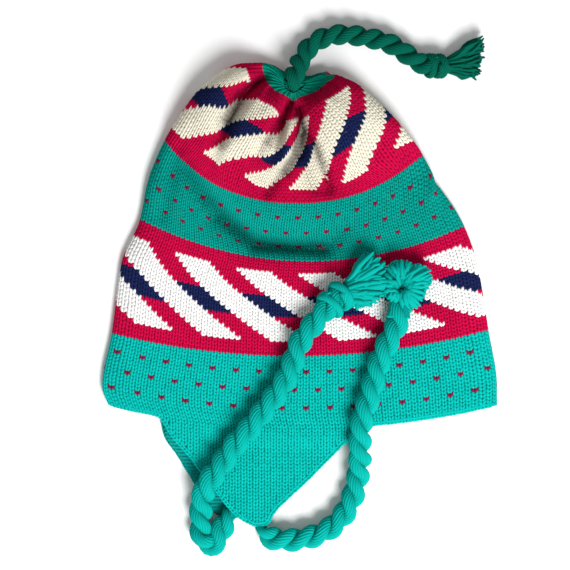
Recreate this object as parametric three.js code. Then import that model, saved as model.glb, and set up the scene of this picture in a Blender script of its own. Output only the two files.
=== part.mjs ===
// Knitted ski hat with two earflaps, lying flat on its side.
// Millimetres, +Z up. The hat's underside lies on z = 0, its crown points to +Y,
// its forehead edge is the fold at +X and its nape edge the fold at -X.
import * as THREE from 'three';

// Knitted fabric
const waleCount = 132;          // columns of stitches round the head
const fabricThickness = 2.5;
const courseAt = {              // rows of stitches counted from the gather at the top
  gather: 0, ring: 8, head: 12, waist: 21.5, foot: 31.5,
  upperBand: 36, upperDots: 46, upperGreen: 56, bandTop: 63, lowerBand: 84, lastDots: 99, rim: 104,
};
const waleStep = 2.2;           // one facet is this many stitches wide
const courseSteps = [
  0, 4, 8, 10, 12, 15, 18, 21.5, 25, 28, 31.5, 36, 41, 46, 51, 56, 60, 65, 72, 79, 86, 93, 99, 104,
];

// Gather where the crown is drawn together and the top cord comes out
const gather = { x: -4, y: 129.5, z: 11.5, radius: 3 };

// Cords, and the small gap that each piece keeps from the next
const topCordDiameter = 13;
const tieDiameter = 15;
const cordSides = 10;
const brushSides = 16;          // of the turned pieces at the cords' ends
const seatGap = 0.3;

// Folds of the crown, one row for each ridge, valley or edge, in order round the hat.
// Each row gives the fold's wale and its place at four courses: [x, y, height].
const crownFolds = [
  { fold: 'nape edge', wale: 0,
    ring: [-23, 144.3, 10], head: [-35, 144, 11], waist: [-60, 130, 11], foot: [-79, 105, 9] },
  { fold: 'nape lobe', wale: 4,
    ring: [-23, 141, 14], head: [-33, 140, 19], waist: [-54, 123, 23], foot: [-70, 96, 19] },
  { fold: 'nape lobe side', wale: 9,
    ring: [-22, 137, 14], head: [-31, 135, 21], waist: [-46, 110, 27], foot: [-58, 88, 23] },
  { fold: 'nape crease', wale: 12,
    ring: [-21, 134, 12], head: [-29, 129, 14], waist: [-43, 109, 19], foot: [-53, 85, 23] },
  { fold: 'side lobe flank', wale: 16,
    ring: [-19, 131, 13], head: [-26, 121.5, 21], waist: [-36, 103, 26], foot: [-48, 80, 25] },
  { fold: 'side lobe', wale: 20,
    ring: [-15, 127, 13], head: [-16, 116, 24], waist: [-25, 96, 30], foot: [-35, 75, 26] },
  { fold: 'side valley', wale: 25,
    ring: [-9, 124, 12], head: [-10, 109, 17], waist: [-16, 88, 22], foot: [-25, 68, 25] },
  { fold: 'middle pleat', wale: 30,
    ring: [-6, 122, 12], head: [-7, 108, 21], waist: [-8, 87, 29], foot: [-13, 66, 26] },
  { fold: 'middle pleat lip', wale: 34,
    ring: [-5, 121, 12], head: [-1, 110, 21], waist: [-4, 86, 26], foot: [-3, 66, 25] },
  { fold: 'deep valley', wale: 39,
    ring: [-3, 121, 11], head: [0.5, 109, 12], waist: [7, 87, 17], foot: [11, 66, 22] },
  { fold: 'front lobe lip', wale: 45,
    ring: [-1, 122.5, 12], head: [3, 110, 20], waist: [12, 90, 27], foot: [27, 70, 26] },
  { fold: 'front lobe', wale: 52,
    ring: [9, 126, 13], head: [16, 120, 27], waist: [32, 103, 33], foot: [43, 79, 28] },
  { fold: 'front lobe flank', wale: 57,
    ring: [17, 132, 13], head: [27, 127, 24], waist: [45, 110, 26], foot: [60, 92, 22] },
  { fold: 'forehead edge', wale: 61,
    ring: [22, 136, 10], head: [32, 133, 12], waist: [51, 118, 12], foot: [70, 97, 10] },
  { fold: 'back by forehead', wale: 66,
    ring: [17, 136.5, 9], head: [29, 134, 6], waist: [44, 113, 3], foot: [61, 93, 2] },
  { fold: 'back, right turn', wale: 69,
    ring: [14, 136.5, 8], head: [26, 134, 3], waist: [39, 109, 0], foot: [54, 89, 0] },
  { fold: 'back, right', wale: 78,
    ring: [8, 136.5, 7], head: [15, 134, 0], waist: [24, 106, 0], foot: [34, 84, 0] },
  { fold: 'back, middle', wale: 96,
    ring: [-3, 136, 6], head: [-2, 133, 0], waist: [-4, 107, 0], foot: [-6, 83, 0] },
  { fold: 'back, left', wale: 114,
    ring: [-12, 140, 7], head: [-20, 139, 0], waist: [-34, 113, 0], foot: [-44, 86, 0] },
  { fold: 'back, left turn', wale: 129,
    ring: [-20, 143.8, 8], head: [-32, 143.5, 4], waist: [-55, 125, 0], foot: [-72, 98, 0] },
];

// Sections below the crown: the two folded edges, the height of edge and middle, how far the
// course hangs below the straight line between the edges in front and behind, how far the
// wales of the front lean towards the nape, and the wale that lies on the forehead edge.
const bodySections = [
  { at: 'upperBand', left: [-84.3, 96.3], right: [76, 86.8], edge: 6, middle: 26,
    sagFront: 35, sagBack: 15, leanMiddle: -4, leanSide: -4.5, edgeWale: 61 },
  { at: 'upperDots', left: [-95, 70], right: [91, 66], edge: 5, middle: 23,
    sagFront: 31, sagBack: 15, leanMiddle: -2, leanSide: -3, edgeWale: 65 },
  { at: 'upperGreen', left: [-99.7, 47.2], right: [102.7, 43], edge: 4, middle: 21,
    sagFront: 24, sagBack: 13, leanMiddle: 0, leanSide: -1, edgeWale: 66 },
  { at: 'bandTop', left: [-111, 21], right: [111, 19], edge: 4, middle: 20,
    sagFront: 20, sagBack: 12, leanMiddle: 0, leanSide: 0, edgeWale: 66 },
  { at: 'lowerBand', left: [-117.3, -23.6], right: [117.9, -21.5], edge: 4, middle: 19,
    sagFront: 15, sagBack: 9, leanMiddle: 0, leanSide: 0, edgeWale: 66 },
  { at: 'lastDots', left: [-123.3, -57], right: [123.3, -57], edge: 4, middle: 16,
    sagFront: 14, sagBack: 10, leanMiddle: 0, leanSide: 0, edgeWale: 66 },
  { at: 'rim', left: [-119.5, -68.5], right: [123.3, -68.4], edge: 4, middle: 15,
    sagFront: 14, sagBack: 11, leanMiddle: 0, leanSide: 0, edgeWale: 66 },
];

// Broad dents pressed into the upper layer: a line from start to end, its half width and depth.
const dents = [
  { name: 'side of green band',   from: [-72, 78], to: [-50, 50], halfWidth: 11, depth: 3.5 },
  { name: 'middle of green band', from: [-50, 50], to: [-28, 33], halfWidth: 10, depth: 6 },
  { name: 'front of green band',  from: [-28, 33], to: [18, 31],  halfWidth: 9,  depth: 6 },
];

// Earflaps, from the rim to the tip: courses below the rim, both edges and the height of the outer face.
const frontFlap = {
  firstWale: 8.8, lastWale: 44,
  rows: [
    { courses: 6,  left: [-79, -88],     right: [30, -90],       height: 11.5 },
    { courses: 12, left: [-67, -102],    right: [16, -104],      height: 10.3 },
    { courses: 18, left: [-57.5, -115],  right: [2.5, -117.5],   height: 9.6 },
    { courses: 23, left: [-48.5, -127],  right: [-9.5, -128.5],  height: 9.4 },
    { courses: 27, left: [-39, -137.5],  right: [-16, -135.5],   height: 9.3 },
    { courses: 30, left: [-27.5, -144],  right: [-19.5, -143],   height: 9.3 },
  ],
};
const backFlap = {
  firstWale: 88, lastWale: 123.2,
  rows: [
    { courses: 6,  left: [-84, -88],     right: [27, -88],       height: 0 },
    { courses: 12, left: [-75, -101.5],  right: [12, -101.5],    height: 0 },
    { courses: 18, left: [-66.5, -115],  right: [-3, -115],      height: 0 },
    { courses: 23, left: [-58, -126],    right: [-20, -126],     height: 0 },
    { courses: 27, left: [-51, -133.5],  right: [-31, -133.5],   height: 0 },
    { courses: 30, left: [-45.5, -138],  right: [-40, -139.5],   height: 0 },
  ],
};

// Routes of the cords' centre lines as they lie: [x, y, height].
const topCordRoute = [
  [-4.2, 131.5, 18.8], [-3.2, 136, 17.5], [-1.4, 140.7, 13.5], [0.5, 145.5, 9], [2.7, 149.6, 6.9],
  [5.8, 153.8, 6.6], [10.1, 157.5, 6.6], [15.7, 160.3, 6.6], [22.5, 161.8, 6.6], [31.2, 161.9, 6.6],
  [40.7, 160.1, 6.6], [50.3, 158.4, 6.6], [57.2, 155.8, 6.6], [64.2, 151.5, 6.6], [71.2, 146.3, 6.6],
  [76, 143.9, 6.6],
];
const napeTieRoute = [
  [-43.4, -140.1, 8], [-45.6, -146.8, 7.6], [-49.2, -153.2, 7.6], [-55.2, -156, 7.6], [-61, -153, 7.6],
  [-64.2, -146.3, 7.6], [-65.2, -138, 8], [-66, -130, 9.9], [-63.7, -121.5, 14.6], [-58.1, -112.8, 17.8],
  [-50.7, -105.4, 18.6], [-42.6, -95.5, 19.3], [-32.7, -84.3, 22.3], [-24, -73.2, 23.6], [-15.3, -62, 25],
  [-7.9, -50.2, 26.2], [-3.2, -38.4, 27.1], [0.5, -28.5, 27.5], [5.8, -21.1, 27.7], [11, -14.3, 27.8],
  [16, -8.6, 27.8],
];
const frontTieRoute = [
  [-21.4, -149, 8], [-15.9, -151.6, 7.6], [-7.3, -152.5, 7.6], [3.3, -151.3, 7.6], [13.2, -148.2, 7.6],
  [21.3, -143.2, 7.6], [27.5, -136.4, 7.6], [31.8, -128.3, 7.8], [34.9, -119, 8.6], [36.8, -108.5, 11],
  [37.4, -97.3, 18], [37.1, -86.2, 22], [38.6, -75, 23.8], [42.3, -63.2, 24.6], [46.9, -52.1, 25.2],
  [51.3, -40.9, 25.6], [55.7, -29.1, 25.8], [59.1, -19.2, 25.8], [61.3, -10.5, 25.8],
];

// Ends of the cords: the wrap and the cut yarn, [radius, distance along] from the cord outwards.
// Flatness is height over width; heading is the angle from +X that the piece points to.
const wrapProfile = [[0, 0], [5.6, 0], [7.8, 2], [8.6, 6], [8, 10], [5.6, 12], [0, 12]];
const brushProfile = [[0, 0], [5.2, 0], [6.8, 4], [9.2, 12], [12, 20], [11.4, 23], [0, 24.5]];
const splayedProfile = [[0, 0], [6, 0], [8.2, 4], [10.8, 12], [12.4, 20], [11, 25.5], [0, 27.5]];
const cordEnds = {
  topWrap:     { profile: wrapProfile,    flatness: 0.8,  heading: -4, height: 6.9 },
  topBrush:    { profile: brushProfile,   flatness: 0.5,  heading: 12, height: 6.2 },
  napeWrap:    { profile: wrapProfile,    flatness: 0.85, heading: 38, height: 27.8 },
  napeBrush:   { profile: brushProfile,   flatness: 0.55, heading: 21, height: 27.4 },
  frontBrush:  { profile: splayedProfile, flatness: 0.55, heading: 69, height: 25.8 },
};
const cordStepLength = 6.4;      // between two rings of a cord's tube

// Smooth curve through values at rising stations that never overshoots between two of them.
function smoothThrough(stations, values) {
  const last = stations.length - 1;
  const steepness = (i) => (values[i + 1] - values[i]) / (stations[i + 1] - stations[i]);
  const slope = Array.from({ length: last }, (_, i) => steepness(i));
  const tangent = stations.map((at, i) => {
    if (i === 0) return slope[0];
    if (i === last) return slope[last - 1];
    const before = slope[i - 1];
    const after = slope[i];
    return before * after <= 0 ? 0 : (2 * before * after) / (before + after);
  });
  return (at) => {
    let i = 0;
    while (i < last - 1 && at > stations[i + 1]) i += 1;
    const width = stations[i + 1] - stations[i];
    const t = (at - stations[i]) / width;
    const rise = values[i + 1] - values[i];
    const bend = tangent[i] * width - rise;
    const bendNext = rise - tangent[i + 1] * width;
    return values[i] + t * rise + t * (1 - t) * ((1 - t) * bend + t * bendNext);
  };
}

// A closed course: one smooth curve round the hat through the folds' points.
function courseRound(points) {
  const wales = crownFolds.map((row) => row.wale);
  const overlap = 3;
  const before = wales.slice(-overlap).map((wale) => wale - waleCount);
  const after = wales.slice(0, overlap).map((wale) => wale + waleCount);
  const stations = [...before, ...wales, ...after];
  const wrapped = [...points.slice(-overlap), ...points, ...points.slice(0, overlap)];
  const curves = [0, 1, 2].map((axis) => smoothThrough(stations, wrapped.map((point) => point[axis])));
  return (wale) => curves.map((curve) => curve(wale));
}

function dentDepth(x, y) {
  let depth = 0;
  for (const dent of dents) {
    const line = new THREE.Line3(new THREE.Vector3(...dent.from, 0), new THREE.Vector3(...dent.to, 0));
    const nearest = line.closestPointToPoint(new THREE.Vector3(x, y, 0), true, new THREE.Vector3());
    const distance = Math.hypot(x - nearest.x, y - nearest.y) / dent.halfWidth;
    depth = Math.max(depth, dent.depth * Math.exp(-distance * distance));
  }
  return depth;
}

// Points of one section below the crown, at the same wales as the crown's folds.
function sectionPoints(section) {
  const edgeReach = 3;
  const edgeRoundness = 0.42;
  return crownFolds.map(({ wale }) => {
    const inFront = wale <= section.edgeWale;
    const across = inFront
      ? wale / section.edgeWale
      : (waleCount - wale) / (waleCount - section.edgeWale);
    const bow = 1 - (2 * across - 1) ** 2;
    const sag = inFront ? section.sagFront : section.sagBack;
    const lean = inFront
      ? section.leanMiddle * Math.sin(Math.PI * across) + section.leanSide * Math.sin(2 * Math.PI * across)
      : 0;
    const x = THREE.MathUtils.lerp(section.left[0], section.right[0], across) + lean;
    const y = THREE.MathUtils.lerp(section.left[1], section.right[1], across) - sag * bow;
    const waleFromEdge = Math.min(wale - section.edgeWale, waleCount - wale);
    const backHeight = section.edge * Math.max(0, 1 - waleFromEdge / edgeReach);
    const frontHeight = section.edge + (section.middle - section.edge) * bow ** edgeRoundness;
    return [x, y, inFront ? frontHeight : backHeight];
  });
}

function gatherPoints() {
  return crownFolds.map(({ ring }) => {
    const away = new THREE.Vector2(ring[0] - gather.x, ring[1] - gather.y).setLength(gather.radius);
    return [gather.x + away.x, gather.y + away.y, gather.z];
  });
}

const courseRings = [
  [courseAt.gather, courseRound(gatherPoints())],
  ...['ring', 'head', 'waist', 'foot'].map((name) => {
    return [courseAt[name], courseRound(crownFolds.map((row) => row[name]))];
  }),
  ...bodySections.map((section) => [courseAt[section.at], courseRound(sectionPoints(section))]),
];

// Outer face of the hat at one wale: a function of the course.
function waleLine(wale) {
  const stations = courseRings.map(([course]) => course);
  const points = courseRings.map(([, ring]) => ring(wale));
  const curves = [0, 1, 2].map((axis) => smoothThrough(stations, points.map((point) => point[axis])));
  const inFront = wale > 0 && wale < waleCount / 2;
  return (course) => {
    const [x, y, z] = curves.map((curve) => curve(course));
    return new THREE.Vector3(x, y, inFront ? z - dentDepth(x, y) : z);
  };
}

// Sheet of stitches: the body of the hat, closed round the head, and both earflaps.
class FabricSheet {
  constructor() {
    this.points = [];
    this.triangles = [];
  }

  addPoint(point) {
    this.points.push(point);
    return this.points.length - 1;
  }

  addCell(a, b, c, d) {
    this.triangles.push([a, b, c], [a, c, d]);
  }

  // Solid wall: the sheet, its copy one thickness inside, and strips along the free edges.
  toGeometry(thickness) {
    const count = this.points.length;
    const outer = new THREE.BufferGeometry().setFromPoints(this.points);
    outer.setIndex(this.triangles.flat());
    outer.computeVertexNormals();
    const normals = outer.getAttribute('normal');
    const inside = this.points.map((point, i) => {
      const normal = new THREE.Vector3().fromBufferAttribute(normals, i);
      return point.clone().addScaledVector(normal, -thickness);
    });
    const used = new Set(this.triangles.flatMap(([a, b, c]) => [`${a} ${b}`, `${b} ${c}`, `${c} ${a}`]));
    const faces = this.triangles.flatMap(([a, b, c]) => [[a, b, c], [c + count, b + count, a + count]]);
    for (const edge of used) {
      const [a, b] = edge.split(' ').map(Number);
      if (!used.has(`${b} ${a}`)) {
        faces.push([b, a, a + count], [b, a + count, b + count]);
      }
    }
    const geometry = new THREE.BufferGeometry().setFromPoints([...this.points, ...inside]);
    geometry.setIndex(faces.flat());
    geometry.computeVertexNormals();
    return geometry;
  }
}

function addFlap(sheet, flap, rimIndex, leftFirst) {
  const firstColumn = Math.round(flap.firstWale / waleStep);
  const columns = Math.round((flap.lastWale - flap.firstWale) / waleStep);
  let above = Array.from({ length: columns + 1 }, (_, i) => rimIndex[firstColumn + i]);
  for (const row of flap.rows) {
    const current = above.map((_, i) => {
      const across = leftFirst ? i / columns : 1 - i / columns;
      const x = THREE.MathUtils.lerp(row.left[0], row.right[0], across);
      const y = THREE.MathUtils.lerp(row.left[1], row.right[1], across);
      return sheet.addPoint(new THREE.Vector3(x, y, row.height));
    });
    for (let i = 0; i < columns; i += 1) {
      sheet.addCell(above[i], current[i], current[i + 1], above[i + 1]);
    }
    above = current;
  }
}

function knittedHatGeometry() {
  const sheet = new FabricSheet();
  const columns = Math.round(waleCount / waleStep);
  const lines = Array.from({ length: columns }, (_, i) => waleLine(i * waleStep));
  const rows = courseSteps.map((course) => lines.map((line) => sheet.addPoint(line(course))));
  rows.slice(1).forEach((row, j) => {
    const above = rows[j];
    for (let i = 0; i < columns; i += 1) {
      const next = (i + 1) % columns;
      sheet.addCell(above[i], row[i], row[next], above[next]);
    }
  });
  const crownPoint = sheet.addPoint(new THREE.Vector3(gather.x, gather.y, gather.z));
  for (let i = 0; i < columns; i += 1) {
    sheet.triangles.push([crownPoint, rows[0][i], rows[0][(i + 1) % columns]]);
  }
  const rim = rows.at(-1);
  addFlap(sheet, frontFlap, rim, true);
  addFlap(sheet, backFlap, rim, false);
  return sheet.toGeometry(fabricThickness);
}

// Round cord along its route, with flat ends.
function cordGeometry(route, diameter) {
  const points = route.map((point) => new THREE.Vector3(...point));
  const path = new THREE.CatmullRomCurve3(points, false, 'centripetal');
  const section = new THREE.Shape().absarc(0, 0, diameter / 2, 0, 2 * Math.PI);
  return new THREE.ExtrudeGeometry(section, {
    extrudePath: path,
    steps: Math.round(path.getLength() / cordStepLength),
    curveSegments: cordSides / 2,
    bevelEnabled: false,
  });
}

// The open end of a cord: where it is, its heading in degrees and the radius of its face.
function cordEnd(route, diameter) {
  const [before, last] = route.slice(-2);
  const heading = THREE.MathUtils.radToDeg(Math.atan2(last[1] - before[1], last[0] - before[0]));
  return { x: last[0], y: last[1], heading, radius: diameter / 2 };
}

function onwards({ x, y }, heading, distance) {
  const angle = THREE.MathUtils.degToRad(heading);
  return { x: x + distance * Math.cos(angle), y: y + distance * Math.sin(angle) };
}

// Start of a piece beyond the end before it, so far on that the edges of their faces just part.
function seatBeyond(before, { profile, heading }) {
  const turn = THREE.MathUtils.degToRad(Math.abs(heading - before.heading));
  const faceRadius = Math.max(profile[1][0], before.radius);
  return onwards(before, before.heading, seatGap + faceRadius * Math.sin(turn));
}

// Turned piece pressed flat, pointing along its heading.
function pressedGeometry({ profile, flatness, heading, height }, seat) {
  const geometry = new THREE.LatheGeometry(profile.map((point) => new THREE.Vector2(...point)), brushSides);
  geometry.scale(1, 1, flatness);
  geometry.rotateZ(THREE.MathUtils.degToRad(heading - 90));
  geometry.translate(seat.x, seat.y, height);
  return geometry;
}

const wool = (color) => new THREE.MeshStandardMaterial({ color, roughness: 0.95, metalness: 0 });

function addPiece(group, name, geometry, material) {
  const piece = new THREE.Mesh(geometry, material);
  piece.name = name;
  group.add(piece);
}

// Adds a piece beyond the end before it and gives its own open end.
function addCordEnd(group, name, piece, before, material) {
  const seat = seatBeyond(before, piece);
  addPiece(group, name, pressedGeometry(piece, seat), material);
  const { profile, heading } = piece;
  return { ...onwards(seat, heading, profile.at(-1)[1]), heading, radius: profile.at(-2)[0] };
}

const hat = new THREE.Group();
const greenWool = wool(0x00b296);
const darkGreenWool = wool(0x00735a);
addPiece(hat, 'knitted_hat', knittedHatGeometry(), greenWool);

const topCordEnd = cordEnd(topCordRoute, topCordDiameter);
addPiece(hat, 'top_cord', cordGeometry(topCordRoute, topCordDiameter), darkGreenWool);
const topKnotEnd = addCordEnd(hat, 'top_cord_knot', cordEnds.topWrap, topCordEnd, darkGreenWool);
addCordEnd(hat, 'top_cord_tassel', cordEnds.topBrush, topKnotEnd, darkGreenWool);

const napeTieEnd = cordEnd(napeTieRoute, tieDiameter);
addPiece(hat, 'nape_tie', cordGeometry(napeTieRoute, tieDiameter), greenWool);
const napeKnotEnd = addCordEnd(hat, 'nape_tie_knot', cordEnds.napeWrap, napeTieEnd, greenWool);
addCordEnd(hat, 'nape_tie_tassel', cordEnds.napeBrush, napeKnotEnd, greenWool);

const frontTieEnd = cordEnd(frontTieRoute, tieDiameter);
addPiece(hat, 'front_tie', cordGeometry(frontTieRoute, tieDiameter), greenWool);
addCordEnd(hat, 'front_tie_tassel', cordEnds.frontBrush, frontTieEnd, greenWool);

export default hat;
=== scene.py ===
from math import atan2, ceil, cos, pi, radians, sin
import bmesh
import bpy
import numpy as np
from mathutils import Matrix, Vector
from numpy.linalg import norm


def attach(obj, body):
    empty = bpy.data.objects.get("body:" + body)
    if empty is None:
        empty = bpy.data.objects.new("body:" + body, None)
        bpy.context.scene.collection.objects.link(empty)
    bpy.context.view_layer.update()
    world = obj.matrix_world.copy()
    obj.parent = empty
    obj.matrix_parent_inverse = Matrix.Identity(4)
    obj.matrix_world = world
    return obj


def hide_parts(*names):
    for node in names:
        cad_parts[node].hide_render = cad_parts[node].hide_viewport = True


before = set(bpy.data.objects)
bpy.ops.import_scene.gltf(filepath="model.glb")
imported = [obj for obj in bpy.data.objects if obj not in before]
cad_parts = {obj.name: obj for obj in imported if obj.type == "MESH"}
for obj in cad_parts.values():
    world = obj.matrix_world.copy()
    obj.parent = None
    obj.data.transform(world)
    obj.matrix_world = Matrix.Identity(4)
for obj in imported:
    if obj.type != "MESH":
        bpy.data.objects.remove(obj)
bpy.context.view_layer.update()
scene = bpy.context.scene


class Graph:    # a node tree, with short ways to add nodes to it
    def __init__(self, tree):
        self.tree = tree
        self.family = "GeometryNode" if tree.type == "GEOMETRY" else "ShaderNode"

    def plug(self, socket, value):
        if isinstance(value, Field):
            self.tree.links.new(value.socket, socket)
        else:
            socket.default_value = value

    # kind may leave out the family's name
    def add(self, kind, sockets=None, settings=None, output=0):
        node = self.tree.nodes.new(kind if "Node" in kind else self.family + kind)
        for name, value in (settings or {}).items():
            setattr(node, name, value)
        for name, value in (sockets or {}).items():
            self.plug(node.inputs[name], value)
        return Field(self, node.outputs[output] if len(node.outputs) else None, node)

    def math(self, operation, *values):
        return self.add("ShaderNodeMath", dict(enumerate(values)), {"operation": operation})

    def vector(self, operation, *values):
        return self.add("ShaderNodeVectorMath", dict(enumerate(values)), {"operation": operation})

    def scaled(self, vector, factor):
        return self.add("ShaderNodeVectorMath", {0: vector, "Scale": factor}, {"operation": "SCALE"})

    def mixColour(self, factor, first, second):
        return self.add("Mix", {0: factor, 6: first, 7: second}, {"data_type": "RGBA"}, 2)

    def read(self, name, kind="FLOAT"):
        return self.add("InputNamedAttribute", {"Name": name}, {"data_type": kind})

    def store(self, geometry, name, value, domain):
        return self.add("StoreNamedAttribute", {"Geometry": geometry, "Name": name, "Value": value},
                        {"data_type": "FLOAT", "domain": domain})

    def chance(self, seed, sockets=None):
        return self.add("FunctionNodeRandomValue", {"Seed": seed, **(sockets or {})}, {"data_type": "FLOAT"}, 1)

    def tube(self, curve, sides, radius, scale):    # one along every line of the curve
        section = self.add("CurvePrimitiveCircle", {"Resolution": sides, "Radius": radius})
        return self.add("CurveToMesh", {
            "Curve": curve, "Profile Curve": section, "Scale": scale, "Fill Caps": True,
        })


class Field:    # one socket of a node, used in sums
    def __init__(self, graph, socket, node=None):
        self.graph = graph
        self.socket = socket
        self.node = node

    def __getitem__(self, name):
        return Field(self.graph, self.node.outputs[name], self.node)

    __add__ = __radd__ = lambda self, other: self.graph.math("ADD", self, other)
    __mul__ = __rmul__ = lambda self, other: self.graph.math("MULTIPLY", self, other)
    __sub__ = lambda self, other: self.graph.math("SUBTRACT", self, other)
    __rsub__ = lambda self, other: self.graph.math("SUBTRACT", other, self)
    __truediv__ = lambda self, other: self.graph.math("DIVIDE", self, other)


def geometryTree(name, inputs):
    tree = bpy.data.node_groups.new(name, "GeometryNodeTree")
    for kind, labels in {"Geometry": ["Geometry"], "Material": ["Material"], **inputs}.items():
        for label in labels:
            tree.interface.new_socket(label, in_out="INPUT", socket_type="NodeSocket" + kind)
    tree.interface.new_socket("Geometry", in_out="OUTPUT", socket_type="NodeSocketGeometry")
    graph = Graph(tree)
    return graph, graph.add("NodeGroupInput")


def finishTree(graph, geometry, material):
    smooth = graph.add("SetShadeSmooth", {"Geometry": geometry})
    real = graph.add("RealizeInstances", {"Geometry": smooth})
    painted = graph.add("SetMaterial", {"Geometry": real, "Material": material})
    graph.add("NodeGroupOutput", {"Geometry": painted})
    return graph.tree


def grow(host, tree, values, name):
    modifier = host.modifiers.new("grow", "NODES")
    modifier.node_group = tree
    for item in tree.interface.items_tree:
        if item.in_out == "INPUT" and item.name in values:
            modifier[item.identifier] = values[item.name]
    evaluated = host.evaluated_get(bpy.context.evaluated_depsgraph_get())
    mesh = bpy.data.meshes.new_from_object(evaluated)
    host.modifiers.remove(modifier)
    bpy.data.objects.remove(host)
    mesh.name = name
    return addObject(name, mesh)


def addObject(name, data):
    made = bpy.data.objects.new(name, data)
    scene.collection.objects.link(made)
    return made


def linear(red, green, blue):
    def channel(value):
        value /= 255
        return value / 12.92 if value <= 0.04045 else ((value + 0.055) / 1.055) ** 2.4
    return (channel(red), channel(green), channel(blue), 1.0)


photoView = {
    "centre": (-0.0091, 0.0062),   # what the middle of the picture shows
    "width": 0.3534,               # of the picture, at the height below
    "height": 0.012,
    "lens": 150, "sensor": 36,
}


def makeCamera():
    data = bpy.data.cameras.new("photoCamera")
    data.lens = photoView["lens"]
    data.sensor_width = photoView["sensor"]
    camera = addObject("photoCamera", data)
    distance = photoView["width"] * photoView["lens"] / photoView["sensor"]
    camera.location = (*photoView["centre"], photoView["height"] + distance)
    data.clip_end = 20
    scene.camera = camera


makeCamera()
print("view: camera straight down over", photoView["centre"])


yarnColours = {
    "green": linear(6, 176, 167),
    # upperGreen and ringGreen, used towards the crown, are darker than green, and cream is darker than white
    "upperGreen": linear(6, 150, 138),
    "ringGreen": linear(4, 140, 118),
    "cordGreen": linear(6, 162, 152),
    "topCordGreen": linear(3, 92, 74),
    "crimson": linear(190, 10, 66),
    "dotRed": linear(122, 30, 64),
    "white": linear(248, 246, 244),
    "cream": linear(236, 226, 208),
    "navy": linear(26, 35, 78),
}


finish = {
    "patchScale": 60.0, "fibreScale": 2600.0,
    "toneChange": 0.16, "patchChange": 0.22, "fibreChange": 0.3,   # how far each one moves the shade
    "dark": 0.72,          # the darkest shade of a yarn, as a share of its colour
    "foldDark": 0.16, "foldChange": 0.85,   # painted shade: the colour at the bottom of a fold, and how far it is reached
    "bump": 0.35, "bumpDepth": 0.0002,
}


def newMaterial(name):
    material = bpy.data.materials.new(name)
    material.use_nodes = True
    material.node_tree.nodes.clear()
    graph = Graph(material.node_tree)
    return material, graph, graph.add("TexCoord", output="Object")


def finishMaterial(graph, sockets):
    shader = graph.add("BsdfPrincipled", {"Roughness": 0.95, **sockets})
    graph.add("OutputMaterial", {"Surface": shader})


def dimmed(colour, share):
    return tuple(min(1.0, channel * share) for channel in colour[:3]) + (1.0,)


def woolMaterial(name, colour):
    material, graph, place = newMaterial(name)
    tone = graph.add("Attribute", {}, {"attribute_name": "tone"}, "Fac")
    fold = graph.add("Attribute", {}, {"attribute_name": "fold"}, "Fac")
    patch = graph.add("TexNoise", {"Vector": place, "Scale": finish["patchScale"], "Detail": 3.0})
    fibre = graph.add("TexNoise", {
        "Vector": place, "Scale": finish["fibreScale"], "Detail": 4.0, "Roughness": 0.7,
    })
    shade = ((tone - 0.5) * finish["toneChange"] + (patch - 0.5) * finish["patchChange"]
             + (fibre - 0.5) * finish["fibreChange"] + 0.5)
    plain = graph.mixColour(shade, dimmed(colour, finish["dark"]), dimmed(colour, 2 - finish["dark"]))
    # painted shade: the colour is darkened by the fold attribute, in the folds and in the front tassel's pit
    tint = graph.mixColour(fold * finish["foldChange"], plain, dimmed(colour, finish["foldDark"]))
    bump = graph.add("Bump", {
        "Strength": finish["bump"], "Distance": finish["bumpDepth"], "Height": fibre,
    })
    finishMaterial(graph, {
        "Base Color": tint, "Sheen Weight": 0.2, "Sheen Roughness": 0.4, "Sheen Tint": colour,
        "Specular IOR Level": 0.04, "Normal": bump,
    })
    return material


rope = {
    "strands": 2, "yarns": 11, "sides": 6,
    "strandOffset": 0.232,   # of the cord's diameter, from its middle to a strand's
    "strandRadius": 0.2,     # of the cord's diameter, to the middle of its yarns
    "yarnRadius": 0.064,     # of the cord's diameter
    "strandPitch": 1.65,     # in diameters, one turn of a strand, twisted to the left
    "yarnPitch": 1.75,       # in diameters, one turn of a yarn in its strand, to the right
    "step": 0.0012,
    "slimmest": 0.38,        # thickness of the very start, where the cord comes out of the fabric
}
# each route is in millimetres, all else in metres
# the wraps of a knot: middle, heading in degrees, radius, turns, and how far they lean
# the cut yarns spread between angles from +X in degrees, with their length at each
topCord = {
    "node": "top_cord", "diameter": 0.0135, "material": "topCordGreen", "slim": 0.006, "end": "knot",
    "route": [
        (-4.6, 128.5, 14.2), (-4.2, 131.5, 18.8), (-3.2, 136, 17.5), (-1.4, 140.7, 13.5), (0.5, 145.5, 9),
        (2.7, 149.6, 7.3), (5.8, 153.8, 7), (10.1, 157.5, 7), (15.7, 160.3, 7), (22.5, 161.8, 7),
        (31.2, 161.9, 7), (40.7, 160.1, 7), (50.3, 158.4, 7), (57.2, 155.8, 7), (64.2, 151.5, 7),
        (71.2, 146.3, 7), (76, 143.9, 7), (84.5, 142.2, 7.1), (92.5, 143.1, 6.8),
    ],
    "wraps": [
        ((0.0812, 0.1426, 0.0073), -2, 0.0056, 1.3, 0.0026),
        ((0.0866, 0.1424, 0.0073), 2, 0.0056, 1.3, 0.003),
    ],
    "tassel": {
        "root": (0.0905, 0.1428, 0.0066), "neck": 0.0046, "flatness": 0.62, "rise": 0.0,
        "yarns": 110, "yarnRadius": 0.0011, "seed": 4,
        "spread": [(-24, 0.0185), (-5, 0.022), (12, 0.0235), (37, 0.0285)],
    },
}
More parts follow.
